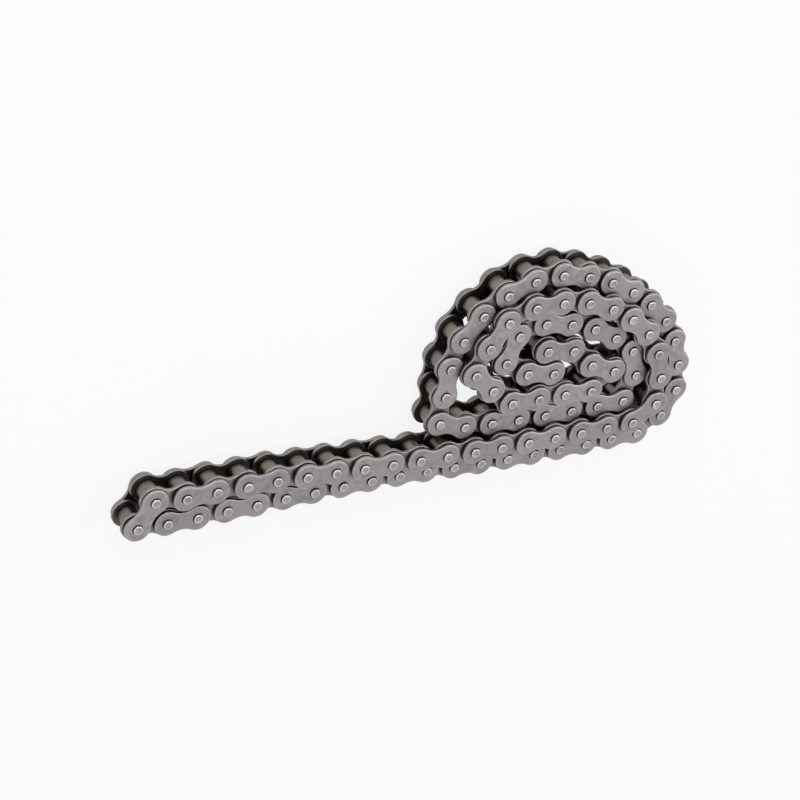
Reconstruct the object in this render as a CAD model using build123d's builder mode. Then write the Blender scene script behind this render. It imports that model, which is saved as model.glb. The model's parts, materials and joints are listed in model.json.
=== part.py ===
from build123d import *
import os
from math import acos, atan2, cos, degrees, hypot, radians, sin

# Endless roller chain, folded flat into two strands and coiled, lying on its side.
# Every pin stands along Z, so each link lies in a level plane and the chain rests
# on the lower pin ends of its lower strand. Millimetres.

# ---- driving dimensions of the chain
PITCH = 12.7                 # pin to pin
ROLLER_DIAMETER = 7.92
ROLLER_LENGTH = 7.65
INNER_WIDTH = 7.85           # between the inner plates
PIN_DIAMETER = 3.96
BUSH_BORE = 4.06
BUSH_DIAMETER = 5.6
ROLLER_BORE = 5.72
PLATE_THICKNESS = 1.5
OUTER_PLATE_HEIGHT = 11.0
INNER_PLATE_HEIGHT = 12.0
OUTER_PLATE_WAIST = 7.8
INNER_PLATE_WAIST = 8.2
SIDE_GAP = 0.4               # between an inner plate and the outer plate beside it
PIN_END = 0.9                # how far a riveted pin end stands out of its plate
PLATE_EDGE = 0.3             # rolled edge of an outer plate's outward face
PIN_EDGE = 0.35
ROLLER_EDGE = 0.3

# ---- heights worked out from them, measured from a link's middle plane
INNER_FACE = INNER_WIDTH / 2
INNER_OUTSIDE = INNER_FACE + PLATE_THICKNESS
OUTER_FACE = INNER_OUTSIDE + SIDE_GAP
OUTER_OUTSIDE = OUTER_FACE + PLATE_THICKNESS
PIN_TIP = OUTER_OUTSIDE + PIN_END

# ---- how the loop lies: both strands start at the fold's pin. Each run is the
# number of links and the heading of its last link in degrees, and the turn from
# the run before is shared equally among the run's joints.
UPPER_STRAND = [
    (1, 57), (1, -3), (1, 1.5), (4, -3.5), (2, -4), (9, 0),
    (1, 35), (1, 89), (3, 138), (1, 147), (3, 181), (1, 201), (1, 235), (1, 247),
    (1, 316), (1, 321), (1, 358), (2, 357), (1, 395), (1, 517), (1, 499), (1, 531),
]
LOWER_STRAND = [
    (1, -3.5), (1, -0.5), (6, 0), (3, -4), (7, 1),
    (3, 95), (3, 134), (4, 167), (6, 266), (1, 265),
    (1, 342), (1, 356), (5, 360), (1, 430), (2, 501), (3, 529), (1, 554), (1, 609), (1, 688),
]
RISE = 0.3                   # side play taken up at each joint next to a fold
RISING_JOINTS = 6            # joints that take it up, on each strand at each fold
BASE = RISE * RISING_JOINTS + PIN_TIP

# ---- which links are free to swing on their pins
UPPER_FREE = 7
LOWER_FREE = 7


def headings(runs):
    """The heading of each link of a strand, in degrees."""
    result = []
    heading = 0
    for count, last in runs:
        step = (last - heading) / count
        result += [heading + step * (n + 1) for n in range(count)]
        heading = last
    return result


def walk(runs):
    """The pins of a strand, one pitch apart, from the fold's pin at (0, 0)."""
    pins = [(0.0, 0.0)]
    for heading in headings(runs):
        x, y = pins[-1]
        pins.append((x + PITCH * cos(radians(heading)), y + PITCH * sin(radians(heading))))
    return pins


def closing_pin(a, b):
    """The pin one pitch from both a and b, on the left of the line from a to b."""
    span = hypot(b[0] - a[0], b[1] - a[1])
    corner = degrees(acos(span / 2 / PITCH))
    along = Vector(b[0] - a[0], b[1] - a[1]).normalized() * PITCH
    x, y, _ = along.rotate(Axis.Z, corner)
    return (a[0] + x, a[1] + y)


def loop_pins():
    """All pins in order round the loop, with the bounding box's middle at (0, 0)."""
    upper = walk(UPPER_STRAND)
    lower = walk(LOWER_STRAND)
    pins = upper + [closing_pin(upper[-1], lower[-1])] + lower[:0:-1]
    xs = [x for x, _ in pins]
    ys = [y for _, y in pins]
    middle = ((min(xs) + max(xs)) / 2, (min(ys) + max(ys)) / 2)
    return [(x - middle[0], y - middle[1]) for x, y in pins]


PINS = loop_pins()
COUNT = len(PINS)            # even: outer links have even numbers, inner links odd
FAR_FOLD = len(walk(UPPER_STRAND)) - 1


def rise(link):
    """How far a link lies above (+) or below (-) the links at the two folds."""
    if link <= FAR_FOLD:
        steps = min(link, FAR_FOLD - link, RISING_JOINTS)
    else:
        steps = -min(link - FAR_FOLD, COUNT - link, RISING_JOINTS)
    return RISE * steps


def place(link):
    """Where a link lies: its middle, with X along it from pin to pin."""
    (x0, y0), (x1, y1) = PINS[link], PINS[(link + 1) % COUNT]
    heading = degrees(atan2(y1 - y0, x1 - x0))
    return Location(((x0 + x1) / 2, (y0 + y1) / 2, BASE + rise(link)), (0, 0, heading))


# ---- the pieces of one link, about its own middle
def link_plates(height, waist, face, hole, edge):
    """Two waisted plates, one on each side, whose inward faces are at +-face."""
    lobe = height / 2
    neck = waist / 2
    # the waist is an arc tangent to both round ends
    hollow = (PITCH**2 / 4 + neck**2 - lobe**2) / (2 * (lobe - neck))
    share = lobe / (lobe + hollow)
    touch = (PITCH / 2 * (1 - share), (neck + hollow) * share)
    with BuildPart() as plates:
        with BuildSketch(Plane.XY.offset(face)):
            with BuildLine():
                waist_arc = ThreePointArc((-touch[0], touch[1]), (0, neck), touch)
                ThreePointArc(touch, (PITCH / 2 + lobe, 0), (touch[0], -touch[1]))
                mirror(waist_arc, about=Plane.XZ)
                ThreePointArc((-touch[0], -touch[1]), (-PITCH / 2 - lobe, 0), (-touch[0], touch[1]))
            make_face()
            with Locations((-PITCH / 2, 0), (PITCH / 2, 0)):
                Circle(hole / 2, mode=Mode.SUBTRACT)
        extrude(amount=PLATE_THICKNESS)
        if edge:
            outward = plates.faces().sort_by(Axis.Z)[-1]
            chamfer(outward.outer_wire().edges(), edge)
        mirror(about=Plane.XY)
    return plates.part


def turned(half_length, radius, edge, bore=0):
    """A round piece about Z with chamfered ends, hollow where it has a bore."""
    with BuildPart() as piece:
        Cylinder(radius, 2 * half_length)
        chamfer(piece.edges().filter_by(GeomType.CIRCLE), edge)
        if bore:
            Cylinder(bore / 2, 2 * half_length, mode=Mode.SUBTRACT)
    return piece.part


def bush():
    """A plain tube, flush with the outsides of the inner plates."""
    with BuildPart() as piece:
        Cylinder(BUSH_DIAMETER / 2, 2 * INNER_OUTSIDE)
        Cylinder(BUSH_BORE / 2, 2 * INNER_OUTSIDE, mode=Mode.SUBTRACT)
    return piece.part


def drawn_pin():
    """The two heads of the pin at the opened pivot, with no shaft between the plates."""
    with BuildPart() as heads:
        with Locations((0, 0, (OUTER_FACE + PIN_TIP) / 2)):
            Cylinder(PIN_DIAMETER / 2, PIN_TIP - OUTER_FACE)
        chamfer(heads.faces().sort_by(Axis.Z)[-1].edges(), PIN_EDGE)
        mirror(about=Plane.XY)
    return heads.part


OUTER_PLATES = link_plates(OUTER_PLATE_HEIGHT, OUTER_PLATE_WAIST, OUTER_FACE, PIN_DIAMETER, PLATE_EDGE)
INNER_PLATES = link_plates(INNER_PLATE_HEIGHT, INNER_PLATE_WAIST, INNER_FACE, BUSH_DIAMETER, 0)
PIN = turned(PIN_TIP, PIN_DIAMETER / 2, PIN_EDGE)
ROLLER = turned(ROLLER_LENGTH / 2, ROLLER_DIAMETER / 2, ROLLER_EDGE, ROLLER_BORE)
BUSH = bush()
NEAR_END = Location((-PITCH / 2, 0, 0))
FAR_END = Location((PITCH / 2, 0, 0))
BOTH_ENDS = (NEAR_END, FAR_END)


def save(node, piece, places):
    """Lay a copy of the piece at each place and write them as one node."""
    with BuildPart() as group:
        with Locations(*places):
            add(piece)
    group.part.label = node
    export_step(group.part, f"parts/{node}.step")


def save_outer_link(name, link, pins=PIN):
    """The plates and pins of one free outer link."""
    at = place(link)
    save(f"{name}_plates", OUTER_PLATES, [at])
    save(f"{name}_pins", pins, [at * end for end in BOTH_ENDS])


def save_inner_link(name, link):
    """The plates, bushes and loose rollers of one free inner link."""
    at = place(link)
    save(f"{name}_plates", INNER_PLATES, [at])
    save(f"{name}_bushes", BUSH, [at * end for end in BOTH_ENDS])
    save(f"{name}_roller_a", ROLLER, [at * NEAR_END])
    save(f"{name}_roller_b", ROLLER, [at * FAR_END])


def save_free_link(name, link):
    """One free link of either kind."""
    if link % 2:
        save_inner_link(name, link)
    else:
        save_outer_link(name, link)


def save_fold_link():
    """The outer link at the fold, whose pin at the opened pivot is only two heads."""
    at = place(0)
    save("fold_link_plates", OUTER_PLATES, [at])
    save("fold_link_pin", PIN, [at * NEAR_END])
    save("fold_link_drawn_pin", drawn_pin(), [at * FAR_END])


def save_coil(name, links):
    """The coiled part of a strand, one node for each kind of piece."""
    outer = [place(link) for link in links if link % 2 == 0]
    inner = [place(link) for link in links if link % 2]
    save(f"{name}_outer_plates", OUTER_PLATES, outer)
    save(f"{name}_pins", PIN, [at * end for at in outer for end in BOTH_ENDS])
    save(f"{name}_inner_plates", INNER_PLATES, inner)
    save(f"{name}_bushes", BUSH, [at * end for at in inner for end in BOTH_ENDS])
    save(f"{name}_rollers", ROLLER, [at * end for at in inner for end in BOTH_ENDS])


def main():
    os.makedirs("parts", exist_ok=True)
    save_fold_link()
    for n in range(1, UPPER_FREE + 1):
        save_free_link(f"upper_link_{n}", n)
    for n in range(1, LOWER_FREE + 1):
        save_free_link(f"lower_link_{n}", COUNT - n)
    save_coil("upper_coil", range(UPPER_FREE + 1, FAR_FOLD + 1))
    save_coil("lower_coil", range(FAR_FOLD + 1, COUNT - LOWER_FREE))


main()
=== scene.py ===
import json
import math

import bpy
import numpy as np
from mathutils import Matrix, Vector
from mathutils.geometry import tessellate_polygon

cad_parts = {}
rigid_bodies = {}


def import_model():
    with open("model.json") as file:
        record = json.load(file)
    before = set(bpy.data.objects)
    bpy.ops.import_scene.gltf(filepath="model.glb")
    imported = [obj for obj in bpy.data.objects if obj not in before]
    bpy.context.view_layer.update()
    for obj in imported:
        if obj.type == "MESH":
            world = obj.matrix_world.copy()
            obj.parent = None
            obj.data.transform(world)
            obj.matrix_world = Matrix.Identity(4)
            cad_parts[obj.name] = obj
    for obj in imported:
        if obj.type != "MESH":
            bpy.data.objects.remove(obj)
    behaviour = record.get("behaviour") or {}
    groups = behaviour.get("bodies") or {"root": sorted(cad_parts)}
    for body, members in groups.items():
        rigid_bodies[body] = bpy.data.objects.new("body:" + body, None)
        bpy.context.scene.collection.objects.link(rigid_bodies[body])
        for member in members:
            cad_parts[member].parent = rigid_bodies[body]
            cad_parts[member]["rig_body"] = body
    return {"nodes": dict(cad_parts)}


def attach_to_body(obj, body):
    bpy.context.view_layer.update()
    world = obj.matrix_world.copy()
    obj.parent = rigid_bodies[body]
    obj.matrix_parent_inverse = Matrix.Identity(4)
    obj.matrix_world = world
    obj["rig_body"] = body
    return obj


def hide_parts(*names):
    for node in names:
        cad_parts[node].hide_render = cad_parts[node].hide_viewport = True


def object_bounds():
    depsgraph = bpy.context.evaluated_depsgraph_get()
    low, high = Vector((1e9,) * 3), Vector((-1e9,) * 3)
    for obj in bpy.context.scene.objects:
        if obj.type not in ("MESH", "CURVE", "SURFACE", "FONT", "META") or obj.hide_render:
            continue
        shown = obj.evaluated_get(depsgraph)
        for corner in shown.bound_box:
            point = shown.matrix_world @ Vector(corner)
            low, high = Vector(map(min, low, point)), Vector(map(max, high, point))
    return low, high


# Looks of the coiled roller chain. Every plate, pin and roller of the frame is found
# from its node's own mesh and dressed with a finer one: rolled punched edges, riveted
# pin ends, turned rollers. Metres, in the frame's own axes.

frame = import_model()
cad_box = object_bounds()

MM = 0.001
MIDDLE_HEIGHT = (cad_box[0][2] + cad_box[1][2]) / 2
RANDOM = np.random.default_rng(12)

# ---- the chain's driving dimensions
PITCH = 12.7 * MM
PLATE_THICKNESS = 1.5 * MM
OUTER_PLATE = {"height": 11.0 * MM, "waist": 7.8 * MM, "hole": 3.96 * MM}
INNER_PLATE = {"height": 12.0 * MM, "waist": 8.2 * MM, "hole": 5.6 * MM}
PIN_RADIUS = 1.98 * MM
PIN_LENGTH = 16.45 * MM
HEAD_LENGTH = 2.4 * MM
ROLLER_RADIUS = 3.96 * MM
ROLLER_BORE_RADIUS = 2.86 * MM
ROLLER_LENGTH = 7.65 * MM
ROLLER_RIM = 0.35 * MM

# ---- fineness and edges of the dressed pieces
LOBE_STEPS = 18
WAIST_STEPS = 5
HOLE_STEPS = 20
PIN_STEPS = 28
ROLLER_STEPS = 36
ROLL_STEPS = 4
BURR = 0.12 * MM             # broken edge on a plate's inward face and round its holes
BAND = 0.2 * MM              # flat band beside a rounding, which keeps the face's shading flat
SHARP_ANGLE = math.radians(50)

# ---- how pieces differ from each other
TONES = (0.92, 1.06)         # darkest and palest piece
GRAIN_SPREAD = 0.5           # metres over which pieces take their patch of the same noise

# ---- sizes of the patterns on the steel
BLOTCH = 3.2 * MM
DRIFT = 8.0 * MM
SPECKLE = 0.5 * MM
FINE = 0.16 * MM
TURNING_MARKS = 1.6 * MM
BUMP_HEIGHT = 0.03 * MM
SHADE_REACH = 7 * MM           # how near other pieces have to be for the painted shade of ambient occlusion to darken the colour
# painted shade in a dark old-oil colour, laid where the wear is negative: plates' inward faces and hole
# walls, pin shanks by the plates, roller bores and ends
OIL_TINTED_SHADE = (0.060, 0.052, 0.045, 1)
SHADE_COVER = 0.75             # how far the painted shade hides the steel where it is darkest

# ---- floor and light
FLOOR_REACH = 4.0
FLOOR_GLOW = 0.86            # share of the floor's white that no shadow darkens
FILL_STRENGTH = 0.55         # the world's strength where it only lights


# ---------------------------------------------------------------- pieces of the frame
def solids(node):
    """The points of each separate solid of a CAD node, as one array for each."""
    mesh = frame["nodes"][node].data
    points = np.empty(len(mesh.vertices) * 3)
    mesh.vertices.foreach_get("co", points)
    ends = np.empty(len(mesh.edges) * 2, int)
    mesh.edges.foreach_get("vertices", ends)
    points, same = np.unique(points.reshape(-1, 3).round(6), axis=0, return_inverse=True)
    a, b = same.ravel()[ends].reshape(-1, 2).T
    label = np.arange(len(points))
    while True:
        low = np.minimum(label[a], label[b])
        spread = label.copy()
        np.minimum.at(spread, a, low)
        np.minimum.at(spread, b, low)
        if (spread == label).all():
            break
        label = spread
    return [points[label == n] for n in np.unique(label)]


def heading(points):
    """The direction of a plate in its own plane, from how its points spread."""
    flat = points[:, :2] - points[:, :2].mean(0)
    x, y = np.linalg.eigh(flat.T @ flat)[1][:, 1]
    return math.atan2(y, x)


def placed(points, angle):
    """The matrix of a solid: its middle, its turn about Z, and its outward face up or down."""
    middle = Vector((points.min(0) + points.max(0)) / 2)
    turn = Matrix.Rotation(angle, 4, "Z")
    if middle.z < MIDDLE_HEIGHT:
        turn = turn @ Matrix.Rotation(math.pi, 4, "X")
    return np.array(Matrix.Translation(middle) @ turn)


# ---------------------------------------------------------------- shapes
class Shape:
    """Points, faces and wear for one solid. Wear is 1 on a rubbed edge, partly a painted highlight, and
    -1 for painted shade in an old-oil colour.
    """

    def __init__(self):
        self.points = []
        self.faces = []
        self.wear_and_painted_light = []

    def ring(self, points, z, wear_and_painted_light=0.0):
        """Adds a closed ring of points at one height and returns their numbers."""
        first = len(self.points)
        self.points += [(x, y, z) for x, y in points]
        self.wear_and_painted_light += [wear_and_painted_light] * len(points)
        return list(range(first, len(self.points)))

    def skin(self, rings):
        """Quads between each ring and the next."""
        for low, high in zip(rings, rings[1:]):
            for n in range(len(low)):
                m = (n + 1) % len(low)
                self.faces.append((low[n], low[m], high[m], high[n]))

    def cap(self, rings, up):
        """Fills a flat face bounded by the first ring, with the others as its holes."""
        loops = [[Vector(self.points[n]) for n in ring] for ring in rings]
        numbers = [n for ring in rings for n in ring]
        for corners in tessellate_polygon(loops):
            face = [numbers[n] for n in corners]
            a, b, c = (Vector(self.points[n]) for n in face)
            if ((b - a).cross(c - a).z > 0) != up:
                face.reverse()
            self.faces.append(tuple(face))


def circle(radius, count, x=0.0):
    """Points evenly round a circle whose middle is x along the link."""
    turn = 2 * math.pi / count
    return [(x + radius * math.cos(n * turn), radius * math.sin(n * turn)) for n in range(count)]


def plate_outline(height, waist, inset):
    """A link plate's outline, drawn in by inset: two round lobes and two tangent waist arcs."""
    half, lobe, neck = PITCH / 2, height / 2, waist / 2
    hollow = (half**2 + neck**2 - lobe**2) / (2 * (lobe - neck))
    lean = math.atan2(half, neck + hollow)
    points = []
    for side in (1, -1):
        for n in range(LOBE_STEPS + 1):
            angle = (math.pi / 2 + lean) * (1 - 2 * n / LOBE_STEPS)
            radius = lobe - inset
            points.append((side * (half + radius * math.cos(angle)), side * radius * math.sin(angle)))
        for n in range(1, WAIST_STEPS):
            angle = lean * (1 - 2 * n / WAIST_STEPS)
            radius = hollow + inset
            depth = radius * math.cos(angle) - neck - hollow
            points.append((side * radius * math.sin(angle), side * depth))
    return points[::-1]


def plate(height, waist, hole, roll_width, roll_depth):
    """One link plate, outward face up, with the punch's roll round that face."""
    shape = Shape()
    top, bottom = PLATE_THICKNESS / 2, -PLATE_THICKNESS / 2

    def outline(inset, z, wear_and_painted_light):
        return shape.ring(plate_outline(height, waist, inset), z, wear_and_painted_light)

    # the inward face and the holes' walls take painted shade (negative wear); the punch's roll is a
    # rubbed edge, partly a painted highlight
    sides = [
        outline(BURR + BAND, bottom, -1.0),
        outline(BURR, bottom, -0.7),
        outline(0.0, bottom + BURR, 0.1),
        outline(0.0, top - roll_depth, 0.4),
    ]
    for n in range(1, ROLL_STEPS + 1):
        angle = math.pi / 2 * n / ROLL_STEPS
        inset = roll_width * (1 - math.cos(angle))
        wear_and_painted_light = math.sin(2 * angle) * 0.4 + 0.6 - 0.35 * n / ROLL_STEPS
        sides.append(outline(inset, top - roll_depth * (1 - math.sin(angle)), wear_and_painted_light))
    sides.append(outline(roll_width + 2 * BAND, top, 0.0))
    shape.skin(sides)
    top_rings, bottom_rings = [sides[-1]], [sides[0]]
    for x in (-PITCH / 2, PITCH / 2):
        bore = []
        for grow, z, wear_and_painted_light in (
            (BURR + 1.5 * BAND, top, 0.0),
            (BURR, top, -0.9),
            (0.0, top - BURR, -1.0),
            (0.0, bottom + BURR, -1.0),
            (BURR, bottom, -1.0),
            (BURR + BAND, bottom, -1.0),
        ):
            bore.append(shape.ring(circle(hole / 2 + grow, HOLE_STEPS, x), z, wear_and_painted_light))
        shape.skin(bore)
        top_rings.append(bore[0])
        bottom_rings.append(bore[-1])
    shape.cap(top_rings, True)
    shape.cap(bottom_rings, False)
    return shape


# a riveted end, from the shaft to the middle of the face: share of the pin's radius,
# depth below the tip, wear (positive on the rubbed rim, partly a painted highlight;
# negative for painted shade on the shank by the plate and in the dimple)
RIVETED_END = [
    (1.0, 0.88 * MM, -1.0),
    (1.015, 0.62 * MM, -0.7),
    (1.02, 0.42 * MM, 0.0),
    (0.99, 0.25 * MM, 0.8),
    (0.93, 0.11 * MM, 1.0),
    (0.84, 0.03 * MM, 0.7),
    (0.70, 0.0, 0.3),
    (0.56, 0.03 * MM, 0.0),
    (0.46, 0.10 * MM, -0.25),
    (0.22, 0.11 * MM, 0.0),
]


def pin():
    """A whole pin, riveted at both ends."""
    shape = Shape()
    ends = [(share, PIN_LENGTH / 2 - depth, wear_and_painted_light) for share, depth, wear_and_painted_light in RIVETED_END]
    rings = [shape.ring(circle(PIN_RADIUS * share, PIN_STEPS), -z, wear_and_painted_light) for share, z, wear_and_painted_light in ends[::-1]]
    rings += [shape.ring(circle(PIN_RADIUS * share, PIN_STEPS), z, wear_and_painted_light) for share, z, wear_and_painted_light in ends]
    shape.skin(rings)
    shape.cap(rings[:1], False)
    shape.cap(rings[-1:], True)
    return shape


def pin_head():
    """Only the riveted head of a pin, outward end up."""
    shape = Shape()
    rings = [shape.ring(circle(PIN_RADIUS, PIN_STEPS), -HEAD_LENGTH / 2)]
    for share, depth, wear_and_painted_light in RIVETED_END:
        rings.append(shape.ring(circle(PIN_RADIUS * share, PIN_STEPS), HEAD_LENGTH / 2 - depth, wear_and_painted_light))
    shape.skin(rings)
    shape.cap(rings[:1], False)
    shape.cap(rings[-1:], True)
    return shape


def roller():
    """A turned roller with rounded rims, open through its bore."""
    shape = Shape()
    half = ROLLER_LENGTH / 2
    # one half, from the bore's edge out over the end face and the rim to the middle; the bore and the
    # rims carry painted shade (negative wear)
    profile = [(ROLLER_BORE_RADIUS, half - BURR, -1.0), (ROLLER_BORE_RADIUS + BURR, half, -1.0)]
    for n in range(ROLL_STEPS + 1):
        angle = math.pi / 2 * n / ROLL_STEPS
        radius = ROLLER_RADIUS - ROLLER_RIM * (1 - math.sin(angle))
        profile.append((radius, half - ROLLER_RIM * (1 - math.cos(angle)), -0.5))
    profile.append((ROLLER_RADIUS, half * 0.7, 0.0))
    profile += [(radius, -z, wear_and_painted_light) for radius, z, wear_and_painted_light in profile[::-1]]
    rings = [shape.ring(circle(radius, ROLLER_STEPS), z, wear_and_painted_light) for radius, z, wear_and_painted_light in profile[::-1]]
    shape.skin(rings + rings[:1])
    return shape


def attach(mesh, name, kind, field, values):
    """Stores one value, or one vector, for each point of a mesh under a name."""
    mesh.attributes.new(name, kind, "POINT").data.foreach_set(field, values)


def dress(node, shape, material, round_piece):
    """Makes the finer copy of every solid of a node as one piece that stands for the node."""
    cloud = np.array(shape.points)
    points, faces, grain, tone = [], [], [], []
    for solid in solids(node):
        angle = RANDOM.uniform(0, 2 * math.pi) if round_piece else heading(solid)
        matrix = placed(solid, angle)
        first = len(points) * len(cloud)
        points.append(cloud @ matrix[:3, :3].T + matrix[:3, 3])
        faces += [[n + first for n in face] for face in shape.faces]
        grain.append(cloud + RANDOM.uniform(0, GRAIN_SPREAD, 3))
        tone += [RANDOM.uniform(*TONES)] * len(cloud)
    mesh = bpy.data.meshes.new(f"{node}_finish")
    mesh.from_pydata(np.concatenate(points).tolist(), [], faces)
    attach(mesh, "grain", "FLOAT_VECTOR", "vector", np.concatenate(grain).ravel())
    attach(mesh, "tone", "FLOAT", "value", tone)
    attach(mesh, "wear_and_painted_light", "FLOAT", "value", shape.wear_and_painted_light * len(points))
    mesh.polygons.foreach_set("use_smooth", [True] * len(mesh.polygons))
    mesh.set_sharp_from_angle(angle=SHARP_ANGLE)
    mesh.materials.append(material)
    piece = bpy.data.objects.new(f"{node}_finish", mesh)
    bpy.context.scene.collection.objects.link(piece)
    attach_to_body(piece, frame["nodes"][node]["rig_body"])
    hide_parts(node)


# ---------------------------------------------------------------- materials
class Tree:
    """A material and short forms for building its node tree."""

    def __init__(self, name):
        self.material = bpy.data.materials.new(name)
        self.material.use_nodes = True
        self.nodes = self.material.node_tree.nodes
        self.links = self.material.node_tree.links
        self.shader = self.nodes["Principled BSDF"]

    def put(self, kind, inputs, output=0, **settings):
        """Adds a node, fills its inputs with values or links, and returns an output."""
        made = self.nodes.new(kind)
        for key, value in settings.items():
            setattr(made, key, value)
        for key, value in inputs.items():
            if isinstance(value, bpy.types.NodeSocket):
                self.links.new(value, made.inputs[key])
            else:
                made.inputs[key].default_value = value
        return made.outputs[output]

    def noise(self, vector, size, detail=2.0, distortion=0.0):
        """Noise whose blobs are about size metres across."""
        return self.put(
            "ShaderNodeTexNoise",
            {"Vector": vector, "Scale": 1 / size, "Detail": detail, "Distortion": distortion},
        )

    def ramp(self, value, low, high, start, end):
        """Turns the range low..high of a value into start..end, and holds it beyond."""
        return self.put(
            "ShaderNodeMapRange",
            {"Value": value, "From Min": low, "From Max": high, "To Min": start, "To Max": end},
        )

    def mix(self, factor, a, b):
        """A mix of two colours."""
        return self.put("ShaderNodeMix", {0: factor, 6: a, 7: b}, 2, data_type="RGBA")

    def math(self, operation, a, b):
        """The result of a sum on two values."""
        return self.put("ShaderNodeMath", {0: a, 1: b}, operation=operation)


def steel(name, dark, light, cast, worn_and_highlight, roughness, rings=0.0, dressed=True):
    """Satin steel: blotches between two greys, a faint cast, fine speckle, rubbed edges lightened as
    partly a painted highlight, and painted shade in an oil colour and from ambient occlusion.
    """
    tree = Tree(name)
    if dressed:
        grain = tree.put("ShaderNodeAttribute", {}, "Vector", attribute_name="grain")
        tone = tree.put("ShaderNodeAttribute", {}, "Fac", attribute_name="tone")
        wear_and_painted_light = tree.put("ShaderNodeAttribute", {}, "Fac", attribute_name="wear_and_painted_light")
    else:
        grain = tree.put("ShaderNodeTexCoord", {}, "Object")
    blotch = tree.noise(grain, BLOTCH, 3.0, 0.4)
    drift = tree.noise(grain, DRIFT, 1.0)
    speckle = tree.noise(grain, SPECKLE, 3.0)
    fine = tree.noise(grain, FINE)
    colour = tree.mix(tree.ramp(blotch, 0.35, 0.65, 0.0, 1.0), dark, light)
    colour = tree.mix(tree.ramp(drift, 0.42, 0.62, 0.0, 0.85), colour, cast)
    colour = tree.mix(tree.ramp(speckle, 0.5, 0.75, 0.0, 0.6), colour, dark)
    rough = tree.ramp(tree.math("ADD", speckle, blotch), 0.8, 1.2, roughness - 0.06, roughness + 0.08)
    if dressed:
        # rubbed edges lighten toward the worn grey: partly wear, partly a painted highlight on rims and
        # pin heads
        patchy = tree.ramp(speckle, 0.3, 0.6, 1.0, 0.5)
        rubbed_and_highlight = tree.math("MULTIPLY", tree.ramp(wear_and_painted_light, 0.0, 1.0, 0.0, 1.0), patchy)
        colour = tree.mix(rubbed_and_highlight, colour, worn_and_highlight)
        # painted shade: negative wear darkens the colour toward a dark oil colour
        colour = tree.mix(tree.ramp(wear_and_painted_light, -1.0, 0.0, SHADE_COVER, 0.0), colour, OIL_TINTED_SHADE)
        colour = tree.put("ShaderNodeVectorMath", {0: colour, "Scale": tone}, operation="SCALE")
        rough = tree.math("SUBTRACT", rough, tree.math("MULTIPLY", rubbed_and_highlight, 0.07))
    # painted shade: ambient occlusion darkens the colour where other pieces close a place in
    openness = tree.put("ShaderNodeAmbientOcclusion", {"Distance": SHADE_REACH}, "AO", samples=8)
    painted_shade = tree.ramp(openness, 0.1, 0.8, 0.2, 1.0)
    colour = tree.put("ShaderNodeVectorMath", {0: colour, "Scale": painted_shade}, operation="SCALE")
    height = tree.math("ADD", speckle, tree.math("MULTIPLY", fine, 0.5))
    if rings:
        turning = tree.put(
            "ShaderNodeTexWave",
            {"Vector": grain, "Scale": 1 / TURNING_MARKS, "Distortion": 1.5, "Detail": 2.0},
            bands_direction="Z",
        )
        height = tree.math("ADD", height, tree.math("MULTIPLY", turning, rings))
    bump = tree.put("ShaderNodeBump", {"Strength": 0.35, "Distance": BUMP_HEIGHT, "Height": height})
    tree.links.new(colour, tree.shader.inputs["Base Color"])
    tree.links.new(rough, tree.shader.inputs["Roughness"])
    tree.links.new(bump, tree.shader.inputs["Normal"])
    tree.shader.inputs["Metallic"].default_value = 1.0
    return tree.material


OUTER_STEEL = steel(
    "outer_plate_steel",
    dark=(0.238, 0.220, 0.228, 1), light=(0.345, 0.325, 0.328, 1),
    cast=(0.312, 0.272, 0.296, 1), worn_and_highlight=(0.410, 0.390, 0.385, 1), roughness=0.43,
)
INNER_STEEL = steel(
    "inner_plate_steel",
    dark=(0.215, 0.203, 0.200, 1), light=(0.290, 0.275, 0.268, 1),
    cast=(0.268, 0.246, 0.252, 1), worn_and_highlight=(0.370, 0.352, 0.340, 1), roughness=0.42,
)
PIN_STEEL = steel(
    "pin_steel",
    dark=(0.235, 0.218, 0.218, 1), light=(0.440, 0.422, 0.418, 1),
    cast=(0.370, 0.338, 0.352, 1), worn_and_highlight=(0.700, 0.680, 0.668, 1), roughness=0.32,
)
ROLLER_STEEL = steel(
    "roller_steel",
    dark=(0.175, 0.157, 0.134, 1), light=(0.290, 0.264, 0.232, 1),
    cast=(0.240, 0.212, 0.186, 1), worn_and_highlight=(0.340, 0.315, 0.288, 1), roughness=0.38, rings=0.6,
)
BUSH_STEEL = steel(
    "bush_steel",
    dark=(0.160, 0.148, 0.136, 1), light=(0.230, 0.215, 0.198, 1),
    cast=(0.200, 0.184, 0.172, 1), worn_and_highlight=(0.300, 0.280, 0.255, 1), roughness=0.42, dressed=False,
)


# ---------------------------------------------------------------- the chain
OUTER_SHAPE = plate(**OUTER_PLATE, roll_width=0.70 * MM, roll_depth=0.34 * MM)
INNER_SHAPE = plate(**INNER_PLATE, roll_width=0.45 * MM, roll_depth=0.28 * MM)
PIN_SHAPE = pin()
HEAD_SHAPE = pin_head()
ROLLER_SHAPE = roller()


def is_inner(node):
    """True for the plates of an inner link, whose holes hold bushes."""
    stem = node.removesuffix("_plates")
    return stem.endswith("_inner") or f"{stem}_bushes" in frame["nodes"]


for node in sorted(frame["nodes"]):
    if node.endswith("_plates"):
        if is_inner(node):
            dress(node, INNER_SHAPE, INNER_STEEL, False)
        else:
            dress(node, OUTER_SHAPE, OUTER_STEEL, False)
    elif node.endswith("drawn_pin"):
        dress(node, HEAD_SHAPE, PIN_STEEL, True)
    elif node.endswith("_pin") or node.endswith("_pins"):
        dress(node, PIN_SHAPE, PIN_STEEL, True)
    elif "_roller" in node:
        dress(node, ROLLER_SHAPE, ROLLER_STEEL, True)
    else:
        for material_slot in frame["nodes"][node].material_slots:
            material_slot.material = BUSH_STEEL


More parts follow.
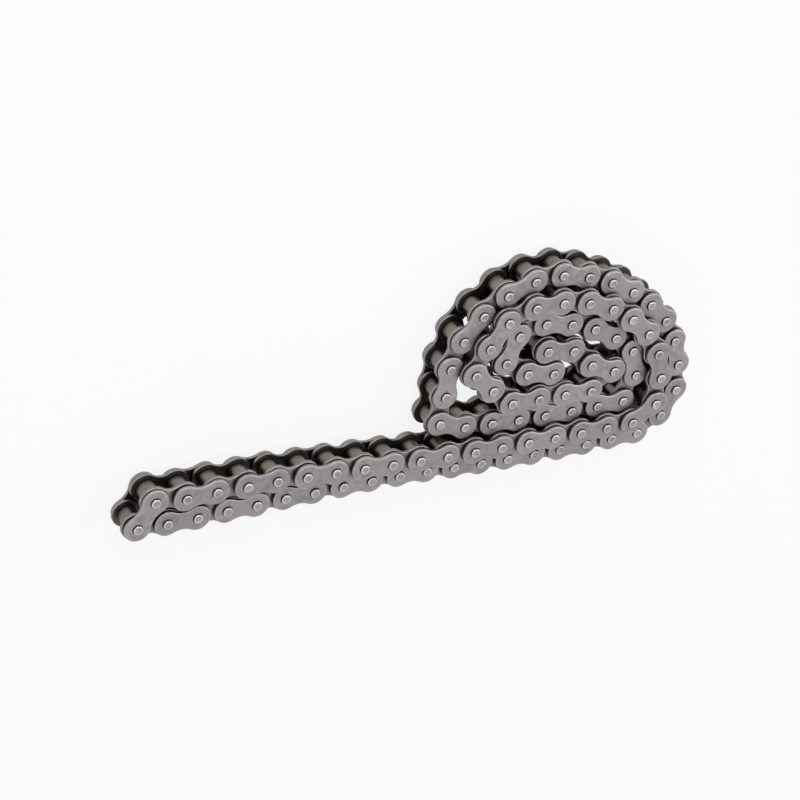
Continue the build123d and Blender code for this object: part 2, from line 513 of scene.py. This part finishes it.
# ---------------------------------------------------------------- floor, light and camera
def seen_directly(nodes, links):
    """1 for camera, glossy and transmission rays, and 0 for the rays that light things."""
    path = nodes.new("ShaderNodeLightPath")
    total = path.outputs["Is Camera Ray"]
    for name in ("Is Glossy Ray", "Is Transmission Ray"):
        larger = nodes.new("ShaderNodeMath")
        larger.operation = "MAXIMUM"
        links.new(total, larger.inputs[0])
        links.new(path.outputs[name], larger.inputs[1])
        total = larger.outputs[0]
    return total


def white_floor():
    """A white floor that still takes the chain's shadow."""
    corners = [(x * FLOOR_REACH, y * FLOOR_REACH, 0) for x, y in ((-1, -1), (1, -1), (1, 1), (-1, 1))]
    mesh = bpy.data.meshes.new("floor")
    mesh.from_pydata(corners, [], [(0, 1, 2, 3)])
    tree = Tree("white_floor")
    nodes, links = tree.nodes, tree.links
    tree.shader.inputs["Base Color"].default_value = (0.95, 0.95, 0.95, 1)
    tree.shader.inputs["Roughness"].default_value = 0.9
    glow = nodes.new("ShaderNodeEmission")
    glow.inputs["Strength"].default_value = 1.0
    share = tree.math("MULTIPLY", seen_directly(nodes, links), FLOOR_GLOW)
    blend = nodes.new("ShaderNodeMixShader")
    links.new(share, blend.inputs[0])
    links.new(tree.shader.outputs[0], blend.inputs[1])
    links.new(glow.outputs[0], blend.inputs[2])
    links.new(blend.outputs[0], nodes["Material Output"].inputs["Surface"])
    mesh.materials.append(tree.material)
    floor = bpy.data.objects.new("floor", mesh)
    bpy.context.scene.collection.objects.link(floor)


def white_world():
    """White where it is seen, and a softer fill where it only lights."""
    world = bpy.data.worlds.new("world")
    bpy.context.scene.world = world
    world.use_nodes = True
    nodes, links = world.node_tree.nodes, world.node_tree.links
    background = nodes["Background"]
    background.inputs["Color"].default_value = (1, 1, 1, 1)
    strength = nodes.new("ShaderNodeMapRange")
    strength.inputs["To Min"].default_value = FILL_STRENGTH
    strength.inputs["To Max"].default_value = 1.0
    links.new(seen_directly(nodes, links), strength.inputs["Value"])
    links.new(strength.outputs[0], background.inputs["Strength"])


def softbox(name, place, size, power):
    """A square lamp aimed at the chain."""
    lamp = bpy.data.lights.new(name, "AREA")
    lamp.size = size
    lamp.energy = power
    holder = bpy.data.objects.new(name, lamp)
    holder.location = place
    holder.rotation_euler = (-Vector(place)).to_track_quat("-Z", "Y").to_euler()
    bpy.context.scene.collection.objects.link(holder)


def camera():
    """A long lens above the chain, to the left of and beyond its straight end."""
    lens = bpy.data.cameras.new("camera")
    lens.sensor_width = 36.0
    lens.lens = 111.49
    holder = bpy.data.objects.new("camera", lens)
    holder.location = (-0.4413, 0.5095, 0.7278)
    holder.rotation_euler = [math.radians(angle) for angle in (-34.708, -27.439, 6.367)]
    bpy.context.scene.collection.objects.link(holder)
    bpy.context.scene.camera = holder


white_floor()
white_world()
softbox("key", (-0.25, 0.95, 0.55), 0.8, 5.0)
softbox("fill", (0.75, 0.15, 0.80), 0.7, 2.0)
camera()
bpy.context.scene.view_settings.view_transform = "Standard"
